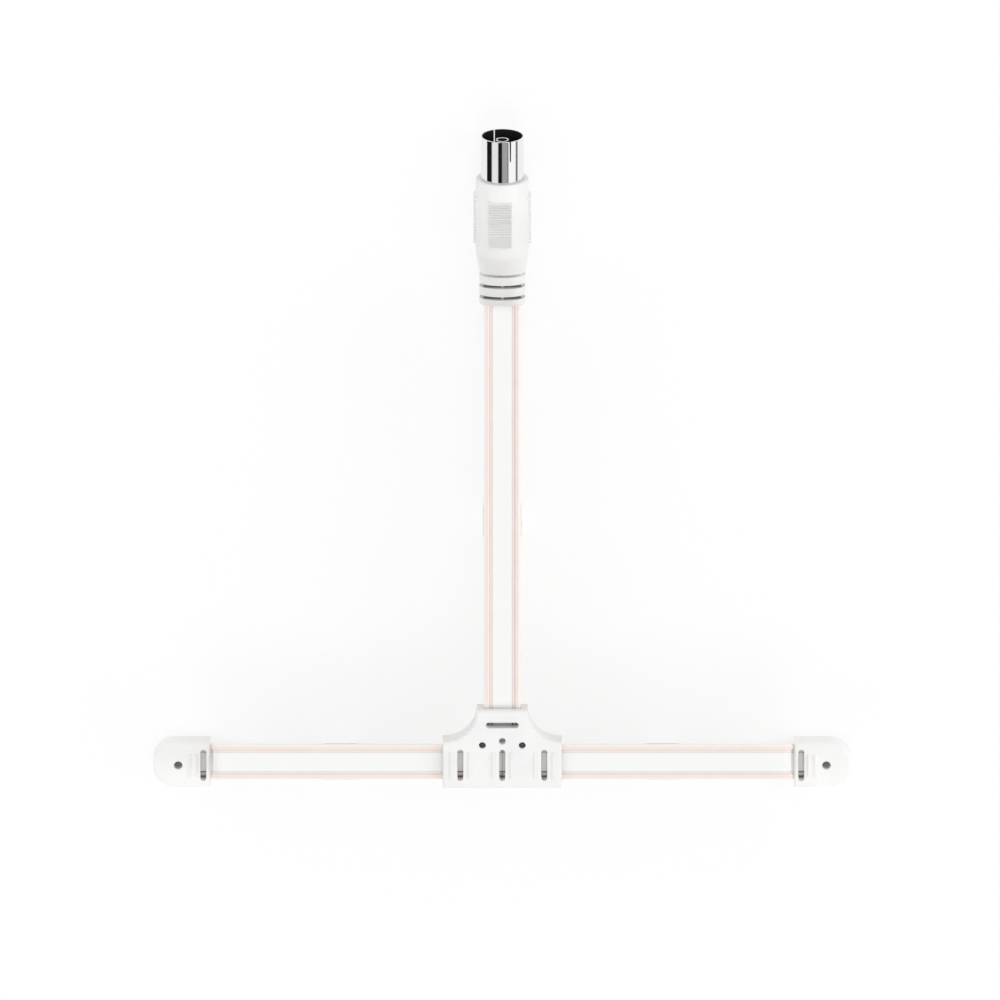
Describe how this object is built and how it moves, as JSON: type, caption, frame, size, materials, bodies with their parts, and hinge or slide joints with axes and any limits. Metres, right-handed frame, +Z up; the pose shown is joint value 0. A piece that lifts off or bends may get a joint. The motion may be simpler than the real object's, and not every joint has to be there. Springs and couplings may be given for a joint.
{
  "type": "fm wire antenna",
  "caption": "Indoor FM wire antenna: flat twin-lead dipole with a moulded tee and nail-hole end caps, and a feed lead that ends in a moulded coax socket with a metal sleeve.",
  "frame": {"origin": "middle of the part's box in X and Y, on the surface it lies on", "axes": "+X along the dipole to the right end cap, +Y along the feed towards the coax socket, +Z up"},
  "size_m": [0.1696, 0.168, 0.0362],
  "materials": {
    "moulding": "satin white",
    "twin_lead": "pale clear plastic over copper",
    "copper_wire": "bare copper",
    "solder": "dull solder",
    "plated_contact": "bright plated",
    "insulator": "matt black",
    "band": "plain white band"
  },
  "bodies": {
    "root": {"tee_moulding": "moulding", "right_end_cap": "moulding", "left_end_cap": "moulding", "plug_overmould": "moulding", "dipole_strip": "twin_lead", "feed_strip": "twin_lead", "right_hank": "twin_lead", "left_hank": "twin_lead", "feed_hank": "twin_lead", "right_end_lead": "twin_lead", "left_end_lead": "twin_lead", "feed_end_lead": "twin_lead", "dipole_through_wire": "copper_wire", "dipole_left_wire": "copper_wire", "dipole_right_wire": "copper_wire", "feed_left_wire": "copper_wire", "feed_right_wire": "copper_wire", "right_end_bridge": "copper_wire", "left_end_bridge": "copper_wire", "plug_left_wire": "copper_wire", "plug_right_wire": "copper_wire", "solder_joint_left": "solder", "solder_joint_right": "solder", "plug_outer_contact": "plated_contact", "plug_centre_contact": "plated_contact", "plug_insulator": "insulator", "right_band": "band", "left_band": "band", "feed_band": "band"}
  },
  "joints": []
}
